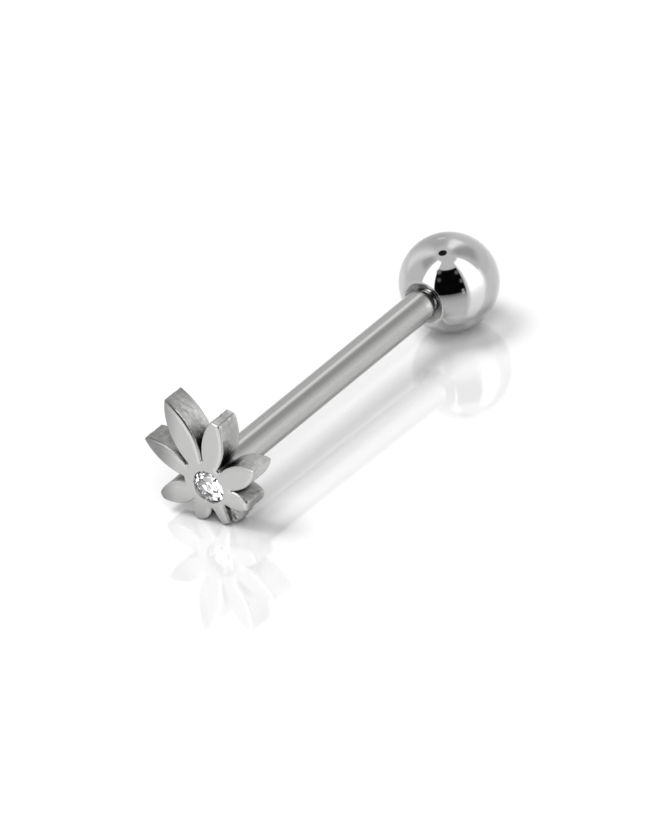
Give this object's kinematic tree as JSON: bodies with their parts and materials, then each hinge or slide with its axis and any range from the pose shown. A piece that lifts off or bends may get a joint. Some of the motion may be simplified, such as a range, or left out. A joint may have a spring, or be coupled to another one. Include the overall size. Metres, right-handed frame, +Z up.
{
  "type": "straight barbell",
  "caption": "Straight body-jewellery barbell: a steel bar with a cast leaf set with a round crystal at one end and a screw-on ball at the other.",
  "frame": {"origin": "middle of the footprint, on the surface the barbell lies on", "axes": "+X along the bar from the leaf to the ball, tilted up 0.77 degrees by the ball; +Z up; +Y to the left of someone who looks from the leaf to the ball"},
  "size_m": [0.0228, 0.0066, 0.0065],
  "materials": {
    "leaf_bar": "satin steel: brushed along the bar, blasted on the cast leaf",
    "stone": "clear cut crystal",
    "ball": "mirror-polished steel"
  },
  "bodies": {
    "bar": {"leaf_bar": "leaf_bar", "stone": "stone"},
    "ball": {"ball": "ball"}
  },
  "joints": [
    {"name": "ball_off", "type": "slide", "parent": "bar", "child": "ball", "axis": [0.9999, 0, 0.0135], "range_m": [0, 0.0032]}
  ]
}
